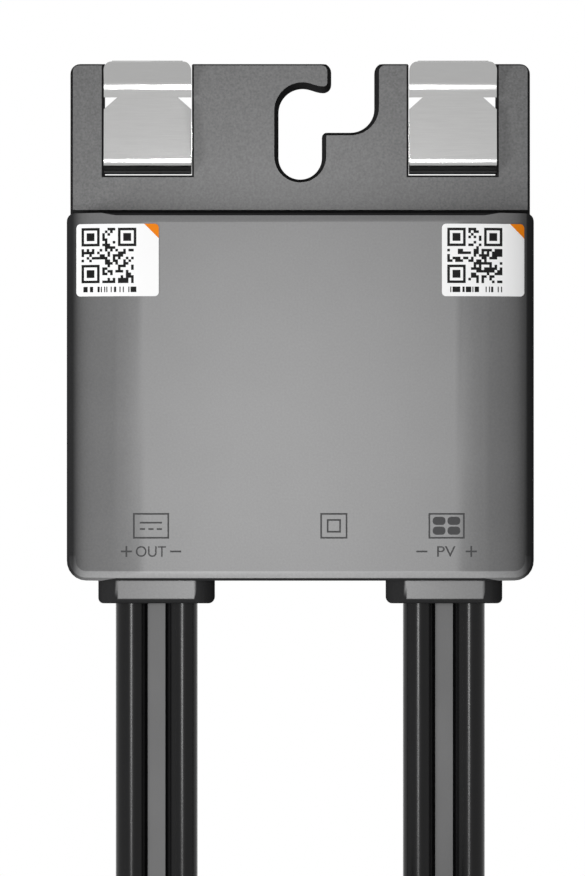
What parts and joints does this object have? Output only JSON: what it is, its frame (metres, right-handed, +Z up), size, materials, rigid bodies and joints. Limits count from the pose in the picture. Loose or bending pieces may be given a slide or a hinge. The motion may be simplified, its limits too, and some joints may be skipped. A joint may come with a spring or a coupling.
{
  "type": "power optimizer",
  "caption": "Flat grey solar power optimizer with a hook slot and folded spring clips on its bracket plate, and flat twin leads with connectors below",
  "frame": {"origin": "centre of the bolt seat at the foot of the hook slot, on the flat back", "axes": "+Z up along the slot, front with the printed marks faces -Y, +X to the right seen from the front"},
  "size_m": [0.0992, 0.1104, 0.3842],
  "materials": {
    "housing_plastic": "fine-grained satin moulded plastic",
    "base_plastic": "fine-grained satin moulded plastic",
    "spring_steel": "bright rolled stainless strip",
    "label_film": "white printed film with an orange corner",
    "gland_plastic": "satin moulded plastic",
    "jacket": "smooth semi-gloss black cable jacket",
    "tie_plastic": "black strap",
    "seal_rubber": "black moulded rubber",
    "screw_steel": "plated screw",
    "board_green": "green solder mask",
    "ferrite": "dark sintered ferrite",
    "copper": "enamelled copper wire",
    "film_blue": "blue capacitor case",
    "chip_black": "black moulded package",
    "spreader_alloy": "extruded aluminium",
    "thermal_pad": "soft gap filler",
    "contact_metal": "tinned contact metal",
    "connector_plastic": "black moulded connector body"
  },
  "bodies": {
    "root": {"front_cover": "housing_plastic", "rear_base": "base_plastic", "cover_seal": "seal_rubber", "cover_screws": "screw_steel", "spring_clip_left": "spring_steel", "spring_clip_right": "spring_steel", "label_left": "label_film", "label_right": "label_film", "gland_out": "gland_plastic", "gland_pv": "gland_plastic", "circuit_board": "board_green", "board_screws": "screw_steel", "inductor_core": "ferrite", "inductor_winding": "copper", "input_capacitors": "film_blue", "output_capacitors": "film_blue", "power_transistors": "chip_black", "heat_spreader": "spreader_alloy", "thermal_pad": "thermal_pad", "control_chip": "chip_black", "terminal_tabs": "contact_metal", "inner_wires_out": "jacket", "inner_wires_pv": "jacket", "lead_out": "jacket", "coil_out": "jacket", "coil_ties": "tie_plastic", "tail_out_plus": "jacket", "tail_out_minus": "jacket", "lead_pv": "jacket", "tail_pv_minus": "jacket", "tail_pv_plus": "jacket", "plug_out_plus_body": "connector_plastic", "plug_out_plus_nut": "connector_plastic", "plug_out_plus_seal": "seal_rubber", "plug_out_plus_contact": "contact_metal", "socket_out_minus_body": "connector_plastic", "socket_out_minus_nut": "connector_plastic", "socket_out_minus_seal": "seal_rubber", "socket_out_minus_contact": "contact_metal", "plug_pv_minus_body": "connector_plastic", "plug_pv_minus_nut": "connector_plastic", "plug_pv_minus_seal": "seal_rubber", "plug_pv_minus_contact": "contact_metal", "socket_pv_plus_body": "connector_plastic", "socket_pv_plus_nut": "connector_plastic", "socket_pv_plus_seal": "seal_rubber", "socket_pv_plus_contact": "contact_metal"}
  },
  "joints": []
}
